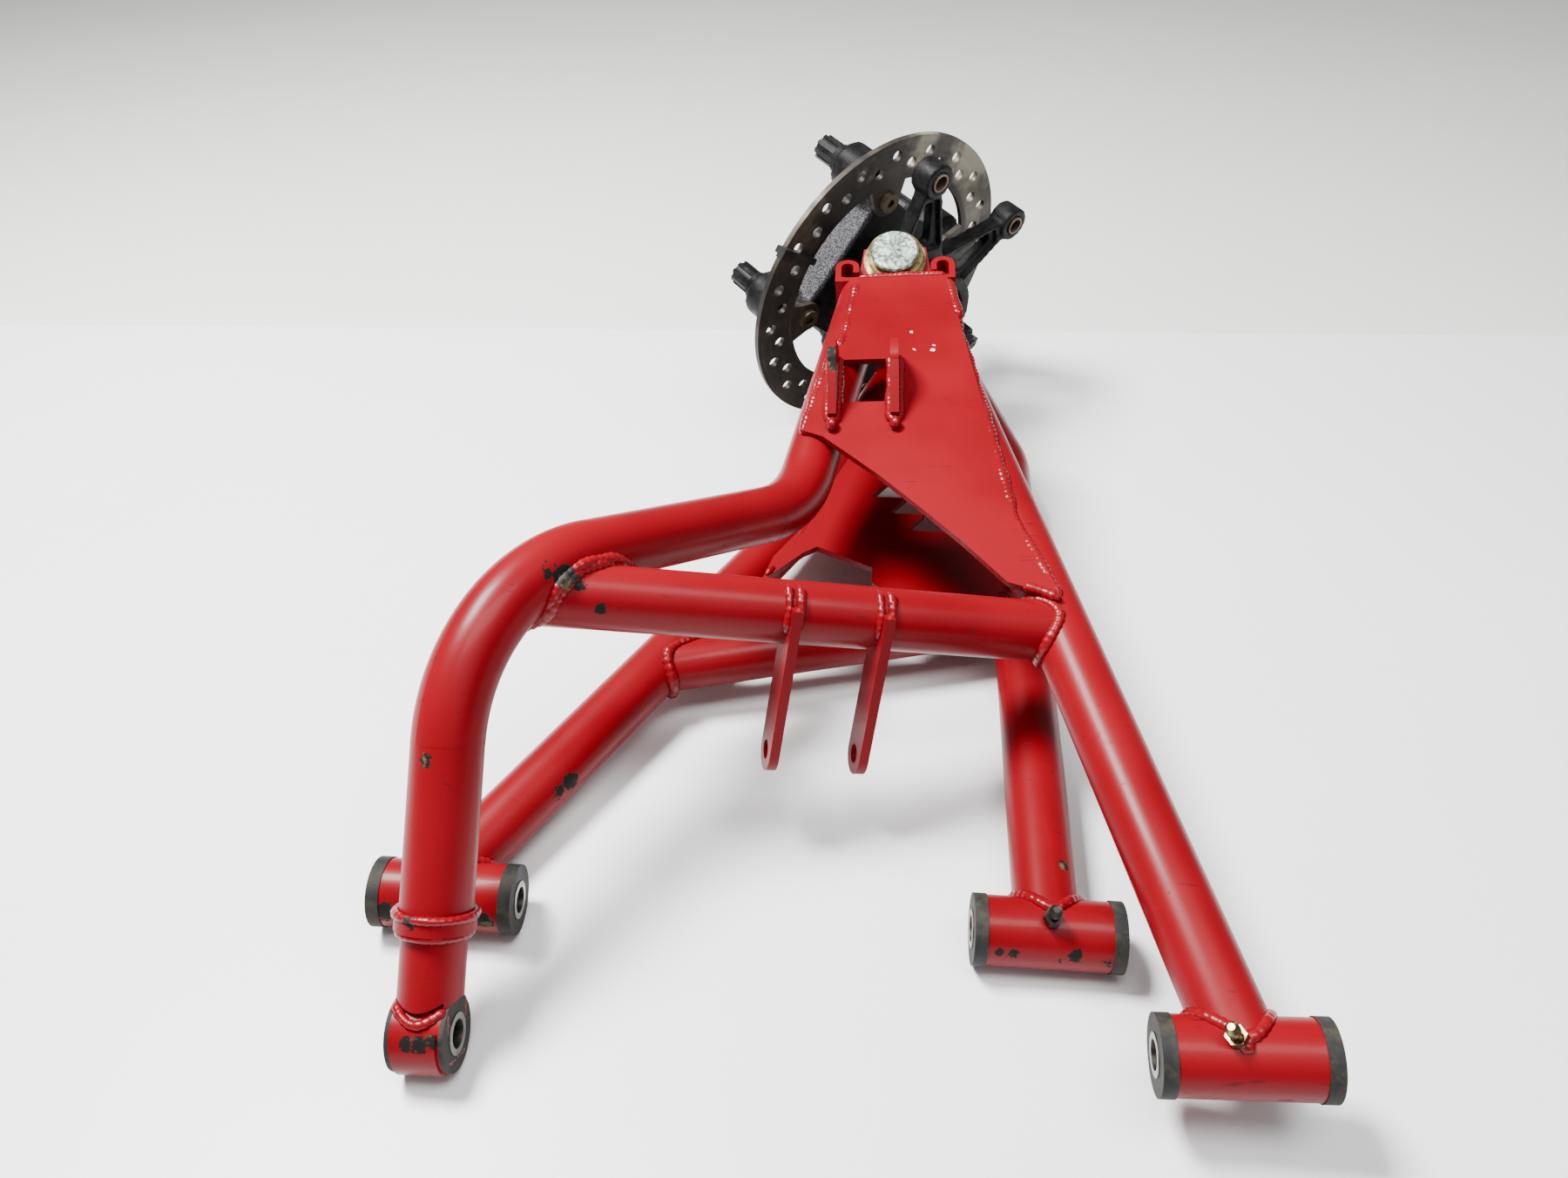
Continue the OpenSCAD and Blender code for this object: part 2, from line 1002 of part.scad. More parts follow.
module pinch_nuts() {
    color(STEEL)
        for (side = [0, 1])
            pinch_place(side)
                difference() {
                    translate([0, 0, pinch_grip[side]])
                        cylinder(h = 7, d = 15, $fn = 6);
                    cylinder(h = 60, d = 8);
                }
}

// Steel threaded inserts that show as bright rings in the caliper ears
module caliper_inserts() {
    color(RUST)
        wheel_place()
            for (at = ear_at)
                translate([at.x, at.y, ear_in])
                    difference() {
                        translate([0, 0, -1])
                            cylinder(h = ear_out - ear_in + 1, d = ear_hole_d + 3);
                        translate([0, 0, -2])
                            cylinder(h = 30, d = ear_hole_d);
                    }
}

// ---- bearing and hub ----

bearing_in = knuckle_in + 7;
bearing_out = knuckle_out - 3;
inner_d = 44;
race_in_d = 52;
race_out_d = 59;
hub_bore_d = 24;
balls = 12;

module ring(low, high, od, id) {
    translate([0, 0, low])
        difference() {
            cylinder(h = high - low, d = od);
            translate([0, 0, -1])
                cylinder(h = high - low + 2, d = id);
        }
}

module bearing_outer_race() {
    color(STEEL)
        wheel_place()
            ring(bearing_in, bearing_out, bearing_d, race_out_d);
}

module bearing_snap_ring() {
    color(STEEL)
        wheel_place()
            ring(bearing_out, bearing_out + 2, bearing_d, bearing_d - 9);
}

module bearing_seal() {
    color(RUBBER)
        wheel_place()
            ring(bearing_in - 2.5, bearing_in, bearing_d - 8, race_in_d + 4);
}

module bearing_inner_race() {
    color(STEEL)
        wheel_place()
            ring(bearing_in, bearing_out, race_in_d, inner_d);
}

module bearing_balls() {
    color(STEEL)
        wheel_place()
            for (z = [bearing_in + 9, bearing_out - 9])
                for (i = [0 : balls - 1])
                    rotate(i * 360 / balls)
                        translate([(race_in_d + race_out_d) / 4, 0, z])
                            sphere(d = (race_out_d - race_in_d) / 2 - 0.6, $fn = 16);
}

stud_angle = -8;
disc_bolt_r = 71;
disc_bolt_d = 8;
hub_face = 42;
hub_side = 108;

module around() {
    for (i = [0 : 3])
        rotate(stud_angle + 90 * i)
            children();
}

module wheel_hub() {
    color(CASTING)
        wheel_place()
            difference() {
                union() {
                    // spindle through the bearing
                    translate([0, 0, knuckle_in + 5])
                        cylinder(h = -knuckle_in, d = inner_d);
                    translate([0, 0, bearing_out])
                        cylinder(h = 40, d = race_in_d - 2);
                    // square block behind the disc, with a lobe at each corner
                    rotate(stud_angle + 45)
                        translate([-hub_side / 2, -hub_side / 2, disc_t / 2])
                            cube([hub_side, hub_side, hub_face - disc_t / 2 - 6]);
                    translate([0, 0, 20])
                        cylinder(h = hub_face - 20, r = 40);
                    around() {
                        translate([disc_bolt_r, 0, disc_t / 2])
                            cylinder(h = 12, r = 12);
                        translate([stud_pcd / 2, 0, 12])
                            cylinder(h = hub_face - 12, r = 18);
                    }
                    // pilot for the wheel
                    translate([0, 0, hub_face])
                        cylinder(h = 10, d = 60);
                }
                translate([0, 0, knuckle_in - 10])
                    cylinder(h = 200, d = hub_bore_d);
                translate([0, 0, hub_face - 12])
                    cylinder(h = 40, d = 46);
                around() {
                    translate([disc_bolt_r, 0, -1])
                        cylinder(h = 11, d = disc_bolt_d);
                    translate([stud_pcd / 2, 0, 10])
                        cylinder(h = 40, d = 12);
                }
            }
}

hole_rows = [[97, 0], [105, 9]];
disc_hole_d = 8.4;
holes_per_row = 20;
hole_start = 4;

module brake_disc() {
    color(RUST)
        wheel_place()
            difference() {
                translate([0, 0, -disc_t / 2])
                    linear_extrude(disc_t)
                        difference() {
                            circle(d = disc_d, $fn = 180);
                            difference() {
                                circle(d = disc_bore);
                                around() {
                                    translate([disc_bolt_r, 0])
                                        circle(r = 12);
                                    polygon([[disc_bolt_r, -12], [disc_bore / 2 + 3, -17],
                                             [disc_bore / 2 + 3, 17], [disc_bolt_r, 12]]);
                                }
                            }
                        }
                for (row = hole_rows)
                    for (i = [0 : holes_per_row - 1])
                        rotate(hole_start + row[1] + i * 360 / holes_per_row)
                            translate([row[0], 0, -disc_t])
                                cylinder(h = 2 * disc_t, d = disc_hole_d, $fn = 24);
                around()
                    translate([disc_bolt_r, 0, -disc_t])
                        cylinder(h = 2 * disc_t, d = disc_bolt_d);
            }
}

module disc_bolts() {
    color(RUST)
        wheel_place()
            around()
                translate([disc_bolt_r, 0, 0]) {
                    translate([0, 0, -disc_t / 2])
                        cylinder(h = disc_t / 2 + 9, d = disc_bolt_d);
                    difference() {
                        translate([0, 0, -disc_t / 2 - 4])
                            cylinder(h = 4, d = 15);
                        translate([0, 0, -disc_t / 2 - 5])
                            cylinder(h = 3.5, d = 7, $fn = 6);
                    }
                }
}

nut_base = hub_face + 1;
nut_l = 28;

module wheel_studs() {
    color(STEEL)
        wheel_place()
            around()
                translate([stud_pcd / 2, 0, 10])
                    cylinder(h = hub_face + 10, d = 12);
}

// Long splined lug nuts with a tapered seat
nut_seat = 8;
nut_bore = 12;

module lug_nut() {
    difference() {
        union() {
            cylinder(h = nut_seat, d1 = 15, d2 = 22);
            translate([0, 0, nut_seat - 0.5])
                linear_extrude(nut_l - nut_seat) {
                    circle(d = 17);
                    for (i = [0 : 8])
                        rotate(i * 40)
                            translate([0, -1.5])
                                square([9.6, 3]);
                }
        }
        translate([0, 0, -1])
            cylinder(h = nut_l + 2, d = nut_bore);
    }
}

module lug_nuts() {
    color(BLACK)
        wheel_place()
            around()
                translate([stud_pcd / 2, 0, nut_base])
                    lug_nut();
}

// Nylon tie looped round the ring of the disc
module cable_tie() {
    color(BLACK)
        wheel_place()
            rotate(-62)
                difference() {
                    union() {
                        translate([82, -2.5, -disc_t / 2 - 1.4])
                            cube([38, 5, disc_t + 2.8]);
                        translate([112, -4, -disc_t / 2 - 6])
                            cube([11, 8, 6]);
                    }
                    translate([83.4, -4, -disc_t / 2 - 0.1])
                        cube([35.2, 8, disc_t + 0.2]);
                }
}

lower_rear_barrel();
lower_front_barrel();
lower_rear_leg();
lower_front_leg();
lower_cross_tube();
lower_gusset();
lower_end_bracket();
lower_ball_housing();
lower_ball_cap();
lower_bushes();
lower_grease_fitting();
lower_rear_sleeve();
lower_front_sleeve();
lower_ball_seat();
lower_boot();
lower_ball_stud();
upper_rear_barrel();
upper_front_barrel();
upper_rear_leg();
upper_front_leg();
upper_front_spigot();
upper_weld_collar();
upper_cross_tube();
upper_gusset();
shock_tabs();
link_tabs();
upper_end_bracket();
upper_ball_plate();
upper_ball_housing();
upper_ball_cap();
upper_snap_ring();
upper_rear_bushes();
upper_front_bushes();
upper_grease_fitting();
upper_rear_sleeve();
upper_front_sleeve();
upper_ball_seat();
upper_boot();
upper_ball_stud();
knuckle();
caliper_inserts();
pinch_bolts();
pinch_nuts();
bearing_outer_race();
bearing_snap_ring();
bearing_seal();
bearing_balls();
bearing_inner_race();
wheel_hub();
brake_disc();
disc_bolts();
wheel_studs();
lug_nuts();
cable_tie();
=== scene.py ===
import bpy
import bmesh
import math
from mathutils import Matrix, Vector
from mathutils.bvhtree import BVHTree


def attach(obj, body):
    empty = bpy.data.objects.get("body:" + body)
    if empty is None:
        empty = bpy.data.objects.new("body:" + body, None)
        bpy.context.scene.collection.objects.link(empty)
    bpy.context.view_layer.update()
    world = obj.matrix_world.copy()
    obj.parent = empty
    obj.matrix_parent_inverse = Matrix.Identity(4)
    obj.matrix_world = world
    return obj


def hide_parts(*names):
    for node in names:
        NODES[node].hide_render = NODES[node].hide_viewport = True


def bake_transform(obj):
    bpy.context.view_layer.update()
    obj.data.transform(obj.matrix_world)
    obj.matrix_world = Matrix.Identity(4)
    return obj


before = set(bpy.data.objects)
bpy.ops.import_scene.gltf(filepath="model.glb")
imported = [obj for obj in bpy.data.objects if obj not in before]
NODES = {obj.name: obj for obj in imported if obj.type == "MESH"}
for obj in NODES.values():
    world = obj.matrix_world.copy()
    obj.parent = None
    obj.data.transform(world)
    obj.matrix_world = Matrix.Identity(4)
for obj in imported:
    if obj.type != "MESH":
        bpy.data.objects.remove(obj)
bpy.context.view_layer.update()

# ---------------------------------------------------------------- places: given in mm, kept in metres


def turn(deg, axis):
    return Matrix.Rotation(math.radians(deg), 4, axis)


def move(x, y, z):
    return Matrix.Translation(Vector((x, y, z)) * 0.001)


LOWER = turn(3.65, "X")
UPPER = move(71, -72, 24.6) @ turn(-4.1, "Y") @ turn(14, "X")
WHEEL = move(-90.8, 516.9, 96.9) @ turn(133.4, "Z") @ turn(78.1, "Y") @ turn(180, "Z")
LOWER_BALL = LOWER @ Vector((-0.037, 0.533, 0))
UPPER_BALL = UPPER @ Vector((-0.142, 0.523, 0))
UPPER_HOUSING = UPPER @ move(-142, 523, 0) @ turn(18.6, "X")
LOWER_HOUSING = LOWER @ move(-37, 533, 0) @ turn(18.6, "X")
KINGPIN = (UPPER_BALL - LOWER_BALL).normalized()
TABLE = -0.0174


def at(matrix, x, y, z):
    return matrix @ (Vector((x, y, z)) * 0.001)


def along(matrix, x, y, z):
    return (matrix.to_3x3() @ Vector((x, y, z))).normalized()


# ---------------------------------------------------------------- materials


class Maker:
    """Small helper that lays out a node tree in object space."""

    def __init__(self, name):
        self.material = bpy.data.materials.new(name)
        self.material.use_nodes = True
        self.tree = self.material.node_tree
        self.tree.nodes.clear()
        self.out = self.add("ShaderNodeOutputMaterial")
        self.shader = self.add("ShaderNodeBsdfPrincipled")
        self.tree.links.new(self.shader.outputs[0], self.out.inputs[0])
        self.place = self.add("ShaderNodeTexCoord").outputs["Object"]

    def add(self, kind, **values):
        node = self.tree.nodes.new(kind)
        for key, value in values.items():
            setattr(node, key, value)
        return node

    def link(self, source, socket):
        if isinstance(source, bpy.types.NodeSocket):
            self.tree.links.new(source, socket)
        else:
            socket.default_value = source

    def math(self, operation, a, b=0.0, c=0.0, clamp=False):
        node = self.add("ShaderNodeMath", operation=operation, use_clamp=clamp)
        for socket, value in zip(node.inputs, (a, b, c)):
            self.link(value, socket)
        return node.outputs[0]

    def vector(self, operation, a, b=(0, 0, 0)):
        node = self.add("ShaderNodeVectorMath", operation=operation)
        self.link(a, node.inputs[0])
        self.link(b, node.inputs[1])
        return node.outputs["Value" if operation in ("DOT_PRODUCT", "DISTANCE") else "Vector"]

    def noise(self, scale, detail=4.0, rough=0.6, place=None, distortion=0.0):
        node = self.add("ShaderNodeTexNoise")
        self.link(self.place if place is None else place, node.inputs["Vector"])
        node.inputs["Scale"].default_value = scale
        node.inputs["Detail"].default_value = detail
        node.inputs["Roughness"].default_value = rough
        node.inputs["Distortion"].default_value = distortion
        return node.outputs["Fac"]

    def offset(self, matrix):
        """The place, measured from a matrix's origin."""
        return self.vector("SUBTRACT", self.place, tuple(matrix.translation))

    def step(self, value, low, high, to_low=0.0, to_high=1.0):
        node = self.add("ShaderNodeMapRange", interpolation_type="SMOOTHSTEP")
        self.link(value, node.inputs["Value"])
        names = ("From Min", "From Max", "To Min", "To Max")
        for name, number in zip(names, (low, high, to_low, to_high)):
            node.inputs[name].default_value = number
        return node.outputs["Result"]

    def mix(self, factor, a, b):
        node = self.add("ShaderNodeMix", data_type="RGBA")
        self.link(factor, node.inputs[0])
        self.link(a if isinstance(a, bpy.types.NodeSocket) else (*a, 1), node.inputs[6])
        self.link(b if isinstance(b, bpy.types.NodeSocket) else (*b, 1), node.inputs[7])
        return node.outputs[2]

    def bump(self, height, strength, distance=0.0005):
        node = self.add("ShaderNodeBump")
        self.link(height, node.inputs["Height"])
        node.inputs["Strength"].default_value = strength
        node.inputs["Distance"].default_value = distance
        self.tree.links.new(node.outputs[0], self.shader.inputs["Normal"])

    def finish(self, **inputs):
        for name, value in inputs.items():
            socket = self.shader.inputs[name.replace("_", " ")]
            self.link((*value, 1) if isinstance(value, tuple) else value, socket)
        return self.material


# Paint chips and white nicks: row-frame place and radius, in mm
CHIPS = [
    ((-231, 75, 140), 6.5), ((-238, 72, 143), 4.5), ((-224, 76, 134), 3.6), ((-241, 69, 9), 5.2),
    ((-246, 62, 9), 3.8), ((-275, -8, 103), 3.0), ((-275, 2, 107), 2.2), ((-276, -85, 12), 3.6),
    ((-271, -86, 13), 4.8), ((-265, -85, 14), 3.8), ((-264, -15, 4), 4.6), ((-272, -15, 3), 3.6),
    ((-311, -15, 5), 5.0), ((-16, -15, 5), 3.0), ((-23, -15, 5), 2.2), ((11, -15, 5), 3.4),
    ((26, -13, 1), 3.8), ((9, 28, 16), 3.0), ((4, -15, 3), 2), ((-262, 20, 120), 2.0),
    ((-205, 71, 124), 2.4), ((-214, 72, 124), 2.8), ((-116, 290, 149), 5.5), ((-116, 285, 145), 4.5),
    ((-278, -52, 50), 3.0),
]
NICKS = [((-69, 344, 138), 1.1), ((-56, 327, 135), 1.4), ((-55, 331, 136), 1.0), ((-67, 328, 134), 0.9)]


def blots(m, spots, ragged, share):
    """How far inside the nearest of the spots a place is; their rims are ragged."""
    deepest = None
    for place, radius in spots:
        distance = m.vector("DISTANCE", m.place, tuple(c * 0.001 for c in place))
        rim = m.math("MULTIPLY_ADD", ragged, share, distance)
        inside = m.math("SUBTRACT", radius * 0.001, rim)
        deepest = inside if deepest is None else m.math("MAXIMUM", deepest, inside)
    return deepest


def red_paint(name, beads=False):
    m = Maker(name)
    cloud = m.noise(9, 3, 0.5)
    base = m.mix(m.step(cloud, 0.3, 0.7), (0.120, 0.0002, 0.0030), (0.160, 0.0004, 0.0045))
    fine = m.noise(160, 5, 0.65)
    grime = m.step(m.noise(38, 6, 0.7, distortion=0.6), 0.60, 0.78)
    base = m.mix(m.math("MULTIPLY", grime, 0.35), base, (0.06, 0.0005, 0.001))
    scuff = m.step(m.noise(70, 2, 0.5, m.vector("MULTIPLY", m.place, (1, 7, 3)), 0.4), 0.69, 0.74)
    base = m.mix(m.math("MULTIPLY", scuff, 0.45), base, (0.025, 0.001, 0.001))
    ragged = m.math("MULTIPLY_ADD", m.noise(230, 4, 0.7), 0.010, -0.005)
    bare = m.step(blots(m, CHIPS, ragged, 1.0), 0.0, 0.0006)
    metal = m.mix(m.step(fine, 0.54, 0.66), (0.005, 0.005, 0.0045), (0.07, 0.055, 0.028))
    base = m.mix(bare, base, metal)
    nick = m.step(blots(m, NICKS, ragged, 0.45), 0.0, 0.0004)
    base = m.mix(nick, base, (0.75, 0.70, 0.66))
    rough = m.step(cloud, 0.3, 0.7, 0.22, 0.30) if beads else m.step(cloud, 0.3, 0.7, 0.30, 0.40)
    rough = m.math("MULTIPLY_ADD", bare, 0.35, rough)
    rough = m.math("MULTIPLY_ADD", scuff, 0.15, rough)
    peel = m.math("MULTIPLY_ADD", m.noise(420, 2, 0.5), 0.25, m.math("MULTIPLY", bare, -1.2))
    m.bump(peel, 0.35 if beads else 0.22, 0.0003)
    gloss = 0.24 if beads else 0.12
    return m.finish(Base_Color=base, Roughness=rough, Specular_IOR_Level=gloss,
                    Coat_Weight=0.03, Coat_Roughness=0.10)


def wheel_polar(m):
    """Radius and angle about the axle, from the wheel's place."""
    centre = m.offset(WHEEL)
    x = m.vector("DOT_PRODUCT", centre, tuple(along(WHEEL, 1, 0, 0)))
    y = m.vector("DOT_PRODUCT", centre, tuple(along(WHEEL, 0, 1, 0)))
    radius = m.math("SQRT", m.math("ADD", m.math("MULTIPLY", x, x), m.math("MULTIPLY", y, y)))
    return radius, m.math("ARCTAN2", y, x)


PAINTED_LIGHT_UP = (0.35, 0.0, 0.94)  # the upper side of the disc, where the swept ring is painted brighter as a painted highlight from the light above


def disc_steel(name):
    m = Maker(name)
    radius, angle = wheel_polar(m)
    polar = m.add("ShaderNodeCombineXYZ")
    m.link(m.math("MULTIPLY", radius, 260), polar.inputs[0])
    m.link(m.math("MULTIPLY", angle, 1.6), polar.inputs[1])
    rings = m.noise(1.0, 5, 0.7, polar.outputs[0])
    blotch = m.noise(26, 5, 0.65)
    base = m.mix(m.step(blotch, 0.38, 0.66), (0.009, 0.0075, 0.0065), (0.028, 0.022, 0.016))
    base = m.mix(m.math("MULTIPLY", m.step(rings, 0.52, 0.74), 0.55), base, (0.085, 0.072, 0.056))
    swept = m.math("MULTIPLY", m.step(radius, 0.087, 0.092), m.step(m.noise(14, 4, 0.6), 0.46, 0.62))
    # the swept ring is real pad wear, but it is brightened only on the disc's upper side: a painted
    # highlight of the light from above
    painted_lit_top = m.step(m.vector("DOT_PRODUCT", m.offset(WHEEL), PAINTED_LIGHT_UP), 0.0, 0.09)
    base = m.mix(m.math("MULTIPLY", m.math("MULTIPLY", swept, painted_lit_top), 0.75), base, (0.24, 0.215, 0.165))
    rust = m.step(m.noise(90, 6, 0.7), 0.62, 0.74)
    base = m.mix(m.math("MULTIPLY", rust, 0.6), base, (0.07, 0.028, 0.012))
    m.bump(m.math("ADD", rings, m.math("MULTIPLY", rust, 0.8)), 0.35, 0.0003)
    rough = m.step(rings, 0.3, 0.7, 0.45, 0.65)
    return m.finish(Base_Color=base, Metallic=0.35, Roughness=rough, Specular_IOR_Level=0.3)


FLAT_ANGLE = math.radians(-53)  # where the hub block's bare flat faces, about the axle


def cast_black(name, bare_sides=False):
    m = Maker(name)
    grain = m.noise(900, 3, 0.6)
    lumps = m.noise(120, 4, 0.6)
    base = m.mix(m.step(lumps, 0.35, 0.7), (0.0035, 0.0035, 0.004), (0.010, 0.0095, 0.0095))
    dust = m.step(m.noise(34, 6, 0.72), 0.56, 0.72)
    base = m.mix(m.math("MULTIPLY", dust, 0.30), base, (0.035, 0.033, 0.030))
    if bare_sides:
        # one flat side of the block is rough bare casting
        cos, sin = math.cos(FLAT_ANGLE), math.sin(FLAT_ANGLE)
        centre = m.offset(WHEEL)
        reach = m.vector("DOT_PRODUCT", centre, tuple(along(WHEEL, cos, sin, 0)))
        aside = m.vector("DOT_PRODUCT", centre, tuple(along(WHEEL, -sin, cos, 0)))
        aside = m.math("ABSOLUTE", aside)
        flat = m.math("MULTIPLY", m.step(reach, 0.0485, 0.0515), m.step(aside, 0.036, 0.044, 1.0, 0.0))
        speck = m.mix(m.step(grain, 0.40, 0.64), (0.015, 0.015, 0.017), (0.10, 0.098, 0.105))
        base = m.mix(flat, base, speck)
    m.bump(m.math("MULTIPLY_ADD", lumps, 0.8, m.math("MULTIPLY", grain, 0.55)), 0.5, 0.0006)
    rough = m.step(lumps, 0.3, 0.7, 0.34, 0.55)
    return m.finish(Base_Color=base, Roughness=rough, Specular_IOR_Level=0.08)


def plain_metal(name, dark, light, rust, rough=(0.28, 0.45), amount=0.5, scale=60.0,
                metallic=1.0, specular=0.5):
    m = Maker(name)
    spots = m.noise(scale, 6, 0.7)
    base = m.mix(m.step(m.noise(scale * 0.5, 4, 0.6), 0.35, 0.65), dark, light)
    base = m.mix(m.math("MULTIPLY", m.step(spots, 0.55, 0.68), amount), base, rust)
    scratch = m.noise(300, 3, 0.6, m.vector("MULTIPLY", m.place, (1, 0.2, 1)))
    m.bump(m.math("ADD", spots, m.math("MULTIPLY", scratch, 0.5)), 0.25, 0.0003)
    gloss = m.step(spots, 0.3, 0.7, rough[0], rough[1])
    return m.finish(Base_Color=base, Metallic=metallic, Roughness=gloss, Specular_IOR_Level=specular)


def zinc_cap(name, housing, face):
    """Speckled silver face and a yellow collar, told apart by the distance along the housing."""
    m = Maker(name)
    rise = m.vector("DOT_PRODUCT", m.offset(housing), tuple(along(housing, 0, 0, face)))
    on_face = m.step(rise, 0.0206, 0.0214)
    speck = m.noise(330, 5, 0.75)
    soft = m.noise(60, 4, 0.6)
    silver = m.mix(m.step(speck, 0.44, 0.58), (0.10, 0.11, 0.085), (0.42, 0.52, 0.49))
    silver = m.mix(m.math("MULTIPLY", m.step(soft, 0.55, 0.72), 0.5), silver, (0.52, 0.44, 0.27))
    yellow = m.mix(m.step(soft, 0.4, 0.62), (0.10, 0.070, 0.026), (0.24, 0.19, 0.09))
    yellow = m.mix(m.step(speck, 0.60, 0.72), yellow, (0.13, 0.08, 0.04))
    m.bump(speck, 0.3, 0.0002)
    base = m.mix(on_face, yellow, silver)
    return m.finish(Base_Color=base, Metallic=0.85, Roughness=m.step(soft, 0.3, 0.7, 0.26, 0.44))


def rubber(name, dark=(0.018, 0.018, 0.018), dusty=(0.075, 0.068, 0.055), amount=0.7, rough=0.7):
    m = Maker(name)
    patches = m.noise(75, 6, 0.7)
    base = m.mix(m.math("MULTIPLY", m.step(patches, 0.42, 0.66), amount), dark, dusty)
    m.bump(m.noise(700, 3, 0.6), 0.3, 0.0003)
    rough = m.step(patches, 0.3, 0.7, rough - 0.12, rough + 0.1)
    return m.finish(Base_Color=base, Roughness=rough, Specular_IOR_Level=0.2)


RED = red_paint("red_gloss_paint")
BEAD = red_paint("red_painted_weld", beads=True)
DISC = disc_steel("drilled_disc_steel")
CAST = cast_black("black_casting")
HUB = cast_black("hub_casting", bare_sides=True)
STEEL = plain_metal("sleeve_steel", (0.085, 0.080, 0.072), (0.22, 0.21, 0.195),
                    (0.05, 0.032, 0.018), amount=0.6)
DARK_STEEL = plain_metal("worn_dark_steel", (0.022, 0.020, 0.018), (0.060, 0.055, 0.048),
                         (0.06, 0.03, 0.014), (0.4, 0.55), 0.5)
BRONZE = plain_metal("bronzed_bolt_steel", (0.035, 0.028, 0.016), (0.085, 0.066, 0.038),
                     (0.028, 0.016, 0.008), (0.42, 0.6), 0.6, 140, 0.7)
RUSTY_RING = plain_metal("rusty_machined_ring", (0.055, 0.030, 0.018), (0.15, 0.105, 0.075),
                         (0.09, 0.036, 0.015), (0.45, 0.62), 0.8, 180, 0.6)
YELLOW_ZINC = plain_metal("yellow_zinc", (0.16, 0.125, 0.06), (0.34, 0.28, 0.15),
                          (0.08, 0.05, 0.025), (0.24, 0.4), 0.4, 150)
NUT_BLACK = plain_metal("black_plated_nut", (0.004, 0.004, 0.0045), (0.012, 0.0118, 0.012),
                        (0.03, 0.029, 0.027), (0.30, 0.45), 0.4, 120, 0.0, 0.12)
CAP_UP = zinc_cap("zinc_cap_upper", UPPER_HOUSING, 1)
CAP_LOW = zinc_cap("zinc_cap_lower", LOWER_HOUSING, -1)
BUSH = rubber("bush_rubber", (0.010, 0.011, 0.011), (0.045, 0.038, 0.026), 0.7)
BOOT = rubber("boot_rubber", (0.012, 0.012, 0.012), (0.040, 0.038, 0.034), 0.5, 0.55)
NYLON = rubber("black_nylon", (0.010, 0.010, 0.010), (0.030, 0.030, 0.030), 0.4, 0.42)

FINISH = {
    "lower_ball_cap": CAP_LOW, "upper_ball_cap": CAP_UP,
    "upper_grease_fitting": YELLOW_ZINC, "lower_grease_fitting": DARK_STEEL,
    "lower_bushes": BUSH, "upper_rear_bushes": BUSH, "upper_front_bushes": BUSH,
    "lower_rear_sleeve": STEEL, "lower_front_sleeve": STEEL,
    "upper_rear_sleeve": STEEL, "upper_front_sleeve": STEEL,
    "lower_ball_seat": BOOT, "upper_ball_seat": BOOT, "lower_boot": BOOT, "upper_boot": BOOT,
    "lower_ball_stud": STEEL, "upper_ball_stud": STEEL, "upper_snap_ring": YELLOW_ZINC,
    "knuckle": CAST, "caliper_inserts": RUSTY_RING,
    "pinch_bolts": DARK_STEEL, "pinch_nuts": DARK_STEEL,
    "bearing_outer_race": STEEL, "bearing_snap_ring": DARK_STEEL,
    "bearing_seal": BOOT, "bearing_balls": STEEL,
    "bearing_inner_race": STEEL, "wheel_hub": HUB, "brake_disc": DISC, "disc_bolts": BRONZE,
    "wheel_studs": DARK_STEEL, "lug_nuts": NUT_BLACK, "cable_tie": NYLON,
}


def put(obj, material):
    obj.data.materials.clear()
    obj.data.materials.append(material)


for name, obj in NODES.items():
    put(obj, FINISH.get(name, RED))

# ---------------------------------------------------------------- edges broken, as on real parts

# widths in mm
BEVELS = {
    "lower_gusset": 0.9, "upper_gusset": 0.9, "shock_tabs": 0.9,
    "link_tabs": 0.9, "lower_end_bracket": 1.1, "upper_end_bracket": 1.1,
    "upper_ball_plate": 0.9, "lower_ball_housing": 0.8, "upper_ball_housing": 0.8,
    "upper_ball_cap": 0.9, "lower_ball_cap": 0.9, "brake_disc": 0.35,
    "lower_bushes": 1.0, "upper_rear_bushes": 1.0, "upper_front_bushes": 0.8,
    "lower_rear_barrel": 0.7, "lower_front_barrel": 0.7, "upper_rear_barrel": 0.7,
    "upper_front_barrel": 0.7, "lug_nuts": 0.5, "pinch_nuts": 0.6,
    "pinch_bolts": 0.6, "disc_bolts": 0.6, "upper_weld_collar": 0.9,
    "lower_rear_sleeve": 0.6, "lower_front_sleeve": 0.6, "upper_rear_sleeve": 0.6,
    "upper_front_sleeve": 0.6, "lower_grease_fitting": 0.3, "upper_grease_fitting": 0.3,
    "cable_tie": 0.4, "caliper_inserts": 0.3,
}
for name, width in BEVELS.items():
    bevel = NODES[name].modifiers.new("edges", "BEVEL")
    bevel.width = width * 0.001
    bevel.segments = 2
    bevel.limit_method = "ANGLE"
    bevel.angle_limit = math.radians(50)
    bevel.harden_normals = True

# ---------------------------------------------------------------- shared mesh helpers


def linked(name, data):
    obj = bpy.data.objects.new(name, data)
    bpy.context.scene.collection.objects.link(obj)
    return obj


def shade_smooth(mesh):
    for polygon in mesh.polygons:
        polygon.use_smooth = True


def smooth_object(name, bm):
    """A new smooth-shaded object from a bmesh, which is freed."""
    mesh = bpy.data.meshes.new(name)
    bmesh.ops.recalc_face_normals(bm, faces=bm.faces)
    bm.to_mesh(mesh)
    bm.free()
    shade_smooth(mesh)
    return linked(name, mesh)


def bake(obj):
    """Puts what the modifiers make into the object's own mesh."""
    bpy.context.view_layer.update()
    depsgraph = bpy.context.evaluated_depsgraph_get()
    made = bpy.data.meshes.new_from_object(obj.evaluated_get(depsgraph))
    obj.modifiers.clear()
    obj.data = made


def across(way):
    """Two unit vectors square to a direction and to each other."""
    side = way.orthogonal().normalized()
    return side, way.cross(side)


